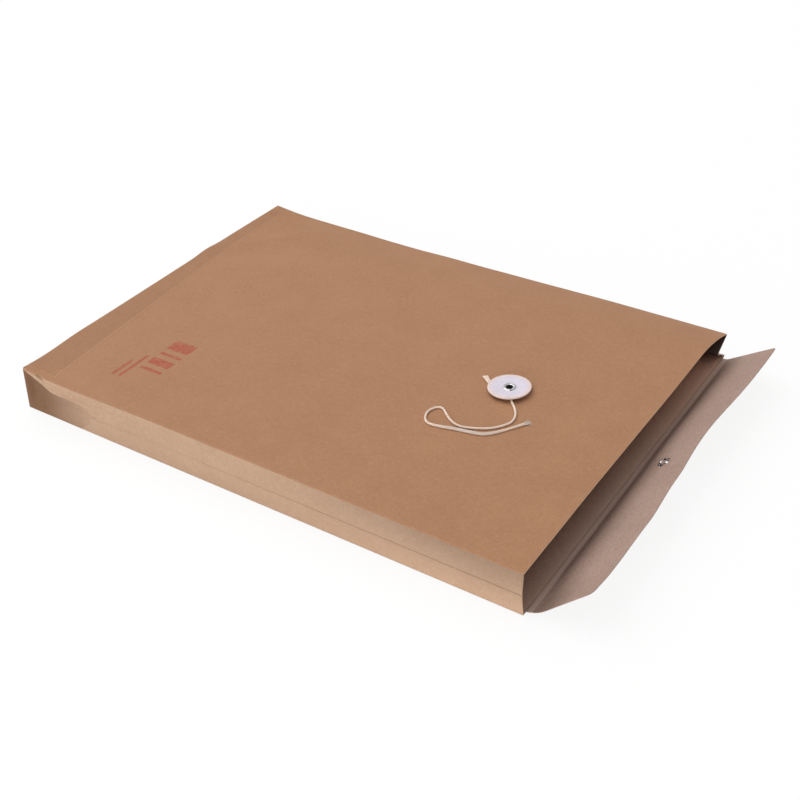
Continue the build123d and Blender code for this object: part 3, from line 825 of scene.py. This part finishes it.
# the bow keeps the upper leaf under the folded panel
leafBow = far["bow"] * np.sin(np.pi / 2 * leafAcross) * (1 - ease(farX, -80, 0))
upperFarZ = edgeZ + edgeDrop - farDepth * np.cos(farLean) - leafBow
underFold = gridOf(0, np.cos(farLean), -np.sin(farLean))
upperFar = gridOf(farX, leafY, upperFarZ) + paper * underFold
addLeaf("farUpperLeaf", "far_gusset_upper", upperFar, (0, 1, -1), kraftSidePaintedSheen, kraftPaintedShade, kraftPaintedShade)
farLow, farHigh, farTip, farEndTip = [np.array(far[key]) for key in ("low", "high", "tip", "endTip")]
farFacet = threeCornered(farLow, farHigh, farTip, pleatAlong, far["reach"])
farFacet[..., 1] -= far["hollow"] * np.sin(np.pi * pleatUp) * np.sin(np.pi * pleatAlong)
farEndFacet = threeCornered(farLow, farHigh, farEndTip, endAcross, far["endReach"])
farEndFacet[..., 0] -= pleat["endShift"]
farPleatParts = [sheetPart(farFacet, (0, 1, 0)), sheetPart(farEndFacet, (-1, 0, 0))]
farPleat = addCard("farCornerPleat", farPleatParts, kraftSidePaintedSheen, "front_panel", ["far_corner_pleat"])
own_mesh(farPleat)
print("far gusset made")


# closed end: two leaves with a crease between them
wall = {"mitre": 6.0, "gap": 0.7, "bulge": 0.25, "outerX": -162.4, "seam": 0.1}
endAlong = spaced(0, 1, 60, 0.004)[:, None]
endShare = np.linspace(0, 1, 10)[None, :]


def endLeaf(upper):
    # leaf between its edge line and the crease half way up, mitred at both corners
    nearStart = nearY + wall["gap"] + (wall["mitre"] - wall["gap"]) * endShare
    farStart = farY - wall["gap"] - (wall["mitre"] - wall["gap"]) * endShare
    y = nearStart + (farStart - nearStart) * endAlong
    topZ = panelTop(endX, y) - paper
    seam = wall["seam"] if upper else -wall["seam"]
    creaseZ = (paper + topZ) / 2 + seam
    edge = (topZ if upper else paper) - seam
    z = edge + (creaseZ - edge) * endShare
    bulge = wall["bulge"] * np.sin(np.pi * endShare) * np.sin(y / 17 + 0.4)
    pull = upper * endPull(endX, y) * (1 - endShare)
    return gridOf(wall["outerX"] - bulge * 0.6 + pull, y, z)


addLeaf("endLowerLeaf", "end_wall_lower", endLeaf(False), (-1, 0, 0), kraftSidePaintedSheen, kraftInside)
addLeaf("endUpperLeaf", "end_wall_upper", endLeaf(True), (-1, 0, 0), kraftSidePaintedSheen, kraftInside)
print("closed end made")


# closure flap: leaves its crease almost flat, bends up sharply, and is a little wavy along its edge
flap = {"depth": 39.5, "rootHalf": 117.5, "tipHalf": 111.4, "nearCorner": 3.0, "farCorner": 2.0,
        "bend": 19.0, "bendPlace": 8.0, "bendReach": 8.0, "flatStart": 30.0, "flatEnd": 5.0,
        "nearFlat": 7.0, "dent": 1.0, "dentReach": 11.0, "buttonReach": 21.0,
        "flatAngle": 38.4, "flatLift": 0.2, "flatKeep": 0.02,
        "wave": ([-118, -112, -104, -92, -64, -52, -40, -28, -14, 0, 12, 28, 44, 60, 76, 90, 112, 118],
                 [37.0, 36.4, 35.4, 35.0, 34.9, 34.7, 35.9, 37.2, 37.7, 39.5, 40.4, 40.3, 38.9, 37.2,
                  35.9, 35.4, 35.3, 35.5])}
flapSteps = np.concatenate([np.linspace(0, 12, 25), np.linspace(13, 39, 27), [39.3, flap["depth"]]])
flapReach = flapSteps[None, :]
flapU = spaced(-1, 1, 120, 0.003)[:, None]
half = flap["rootHalf"] + (flap["tipHalf"] - flap["rootHalf"]) * flapReach / flap["depth"]


def cornerCut(radius):
    # how far a rounded corner pulls the side in: radius - sqrt(radius^2 - d^2)
    d = np.clip(flapReach - (flap["depth"] - radius), 0, radius)
    return radius - np.sqrt(np.maximum(radius**2 - d**2, 0))


def summed(values):
    # running sum along the depth, from zero at the crease
    steps = np.cumsum(values * np.diff(flapReach), 1)
    return np.concatenate([np.zeros((len(flapU), 1)), steps], 1)


flapNear = -(half - cornerCut(flap["nearCorner"]))
flapFar = half - cornerCut(flap["farCorner"])
flapY = flapNear + (flapFar - flapNear) * (flapU + 1) / 2
# slope = lift of the outer edge + bend * exp(-((v - place) / reach)^2) - flat start, less their mean
bent = flap["bend"] * np.exp(-(((flapReach - flap["bendPlace"]) / flap["bendReach"]) ** 2))
# the near end lies flat for longer
flatEnd = flap["flatEnd"] + flap["nearFlat"] * ease(-flapY, 85, 112)
flatStart = flap["flatStart"] * (1 - ease(flapReach, 0.5, flatEnd))
bent = bent * (1 - ease(np.abs(flapY), 75, 112)) - flatStart
bentMean = np.sum((bent[:, 1:] + bent[:, :-1]) / 2 * np.diff(flapReach), 1, keepdims=True) / flap["depth"]
slope = np.radians(curveThrough(flapY, *flap["wave"]) + bent - bentMean)
slopeBetween = (slope[:, 1:] + slope[:, :-1]) / 2
fromButton = flapY**2 + (flapReach - flap["buttonReach"]) ** 2
dent = flap["dent"] * np.exp(-(fromButton / flap["dentReach"] ** 2))
flapX = flapRoot[0] + summed(np.cos(slopeBetween)) + dent * np.sin(slope)
flapZ = flapRoot[2] + summed(np.sin(slopeBetween)) - dent * np.cos(slope)
flapGrid = gridOf(flapX, flapY, flapZ)
closureFlap = addLeaf("closureFlap", "closure_flap", flapGrid, (-1, 0, 1), kraftInside, kraftOutside)
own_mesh(closureFlap)
print("flap made")


# buttons and the hollow rivets that hold them
button = {"radius": 12.0, "bore": 2.06, "low": 1.8, "high": 2.7, "round": 0.22, "dish": 0.5,
          "tilt": 0.04, "tiltSide": (-0.57, 0.82, 0.0), "shift": (-0.1, 0.2, 0.0)}
rivet = {"flange": 3.75, "flangeTop": 2.74, "flangeLow": 2.18, "barrel": 2.0, "bore": 1.75, "star": 4.0,
         "petals": 6, "tail": 0.44, "petalThick": 0.25}


def buttonProfile():
    # closed outline of half the disc, with rounded edges, dished where the rivet draws it down
    turn = np.linspace(0, np.pi / 2, 5)
    r, e = button["radius"], button["round"]
    lowEdge = np.stack([r - e + e * np.sin(turn), button["low"] + e - e * np.cos(turn)], -1)
    highEdge = np.stack([r - e + e * np.cos(turn), button["high"] - e + e * np.sin(turn)], -1)
    across = np.array([11.2, 10.0, 9.0, 8.0, 7.0, 6.0, 5.0, 4.0, 3.0, button["bore"]])
    dish = button["dish"] * (1 - ease(across, 3.5, 9.5))
    top = np.stack([across, button["high"] - dish], -1)
    bottom = np.stack([across, button["low"] - dish], -1)[::-1]
    return np.concatenate([lowEdge, highEdge, top, bottom])


def rivetProfile(extra):
    # closed outline of flange, bore and barrel; the flange is half an ellipse from its rim into the bore
    flange, bore, barrel = rivet["flange"], rivet["bore"], rivet["barrel"]
    turn = np.linspace(0, np.pi, 13)
    rise = rivet["flangeTop"] - rivet["flangeLow"]
    domeRadius = (flange + bore) / 2 + (flange - bore) / 2 * np.cos(turn)
    dome = np.stack([domeRadius, rivet["flangeLow"] + rise * np.sin(turn)], -1)
    tail = -rivet["tail"] - extra
    return np.concatenate([dome, [[bore, 1.0], [bore, tail], [barrel, tail], [barrel, rivet["flangeLow"]]]])


def petalParts(origin, axis, along, extra):
    # split tail of a rivet: pointed strips that curl out of the bore and back to the card
    across = np.cross(axis, along)
    parts = []
    s = np.linspace(0, 1, 9)[:, None]
    w = np.linspace(-1, 1, 5)[None, :]
    reach = rivet["bore"] + 0.2 + (rivet["star"] - rivet["bore"] - 0.2) * s
    width = 1.05 * (1 - s) ** 0.7 + 0.08
    curl = 0.75 * np.sin(np.pi * np.clip(s * 0.9 + 0.1, 0, 1)) * (1 - 0.4 * s)
    drop = rivet["tail"] + extra + curl - 0.1 * s + 0 * w
    for petal in range(rivet["petals"]):
        turn = 2 * np.pi * petal / rivet["petals"]
        outward = np.cos(turn) * along + np.sin(turn) * across
        sideways = np.cross(axis, outward)
        grid = origin + reach[..., None] * outward + (width * w)[..., None] * sideways
        grid -= drop[..., None] * axis
        parts.append(sheetPart(grid, -axis, rivet["petalThick"]))
    return parts


def addButton(name, node, seat, axis):
    profile = buttonProfile()
    disc = turnedPart(profile, seat, axis, 96)
    piece = addPiece(name, [disc], buttonFace, node, [node], 30)
    piece.data.materials.append(buttonEdge)
    outline = np.arange(len(piece.data.polygons)) % len(profile)
    piece.data.polygons.foreach_set("material_index", ((outline >= 2) & (outline <= 10)).astype(np.int32))


def addRivet(name, seat, axis, along, body, node, extra=0.0):
    profile = rivetProfile(extra)
    barrel = turnedPart(profile, seat, axis, 64)
    outline = np.arange(len(barrel[1])) % len(profile)
    # painted shade in the bore and under the rim
    dark = (((outline >= 9) & (outline <= 14)) | (outline <= 0)).astype(int)
    petals = [part[:2] for part in petalParts(seat, axis, along, extra)]
    addPiece(name, [barrel + (dark,)] + petals, nickel, body, [node], 40, lining=rivetPaintedShade)


# the string lifts the near side of the panel's button a little, and holds it a little off its rivet
buttonTilt = unit(buttonAxis + button["tilt"] * np.array(button["tiltSide"]))
tiltSeat = buttonSeat + button["low"] * (buttonAxis - buttonTilt) + np.array(button["shift"])
addButton("panelButton", "panel_button", tiltSeat, buttonTilt)
addRivet("panelRivet", buttonSeat, buttonAxis, panelAlong, "back_panel", "panel_eyelet")
flapSeat, flapAxis = hingePoint("flap_button_spin"), hingeAxis("flap_button_spin")
outerSeat = flapSeat - paper * flapAxis  # the flap's outer face, where its own button lies
addButton("flapButton", "flap_button", outerSeat, -flapAxis)
starPlace = flapGrid[len(flapU) // 2, np.argmin(np.abs(flapSteps - flap["buttonReach"]))]
starRise = float((starPlace - flapSeat) @ flapAxis)  # how far the bent flap is off its plane there
flapAlong = np.array([0.0, 1.0, 0.0])
addRivet("flapRivet", outerSeat, -flapAxis, flapAlong, "closure_flap", "flap_eyelet", starRise)
print("buttons and rivets made")


# white floor and soft light
light = {"horizon": 0.12, "zenith": 0.7, "skyAxis": (0.0, 0.0, 1.0), "ambient": (1.0, 0.99, 0.98, 1.0),
         "keyWatts": 70.0, "keyPlace": (-1.85, 0.35, 2.85), "keySize": (3.4, 3.4),
         "fillWatts": 16.0, "fillPlace": (-0.15, -1.6, 0.14), "fillSize": (1.3, 0.3)}
floorForm = {"half": 4, "height": -0.0002, "grey": (0.86, 0.86, 0.86, 1), "glow": 1.03, "glowShare": 0.86}


def lightPathShare(tree):
    path = addNode(tree, "LightPath", {}).outputs
    direct = calculate("ADD", path["Is Camera Ray"], path["Is Glossy Ray"])
    return calculate("ADD", direct, path["Is Transmission Ray"], use_clamp=True)


def mixedShader(share, first, second):
    return addNode(first, "MixShader", {"Fac": share, 1: first.outputs[0], 2: second.outputs[0]})


world = bpy.data.worlds.new("whiteRoom")
bpy.context.scene.world = world
world.use_nodes = True
room = world.node_tree
direction = addNode(room, "TexCoord", {}).outputs["Generated"]
upward = addNode(room, "VectorMath", {0: direction, 1: light["skyAxis"]}, operation="DOT_PRODUCT")
skyLevel = ramped(upward.outputs["Value"], 0.0, 1.0, light["horizon"], light["zenith"])
ambient = setInputs(room.nodes["Background"], {"Color": light["ambient"], "Strength": skyLevel})
shown = addNode(room, "Background", {"Color": white, "Strength": 1.0})
roomShader = mixedShader(lightPathShare(room), ambient, shown)
setInputs(room.nodes["World Output"], {"Surface": roomShader.outputs[0]})

floorMesh = bpy.data.meshes.new("whiteFloor")
corners = [(-1, -1), (1, -1), (1, 1), (-1, 1)]
floorPoints = [(x * floorForm["half"], y * floorForm["half"], floorForm["height"]) for x, y in corners]
floorMesh.from_pydata(floorPoints, [], [(0, 1, 2, 3)])
floor = linked("whiteFloor", floorMesh)
floorMaterial, matt = newMaterial("whiteFloor")[:2]
floorTree = matt.id_data
setInputs(matt, {"Base Color": floorForm["grey"], "Roughness": 0.9, "Specular IOR Level": 0.0})
glow = addNode(floorTree, "Emission", {"Color": white, "Strength": floorForm["glow"]})
bright = mixedShader(floorForm["glowShare"], matt, glow)
floorShader = mixedShader(lightPathShare(floorTree), matt, bright)
setInputs(floorTree.nodes["Material Output"], {"Surface": floorShader.outputs[0]})
floorMesh.materials.append(floorMaterial)

for name in ("key", "fill"):
    lamp = bpy.data.lights.new(name + "Light", "AREA")
    lamp.energy = light[name + "Watts"]
    lamp.shape = "RECTANGLE"
    lamp.size, lamp.size_y = light[name + "Size"]
    place = np.array(light[name + "Place"])
    toLamp = unit(place)
    lampRight = unit(np.cross((0.0, 1.0, 0.001), toLamp))
    placeObject(name + "Light", lamp, lampRight, np.cross(toLamp, lampRight), toLamp, place)
print("light set")
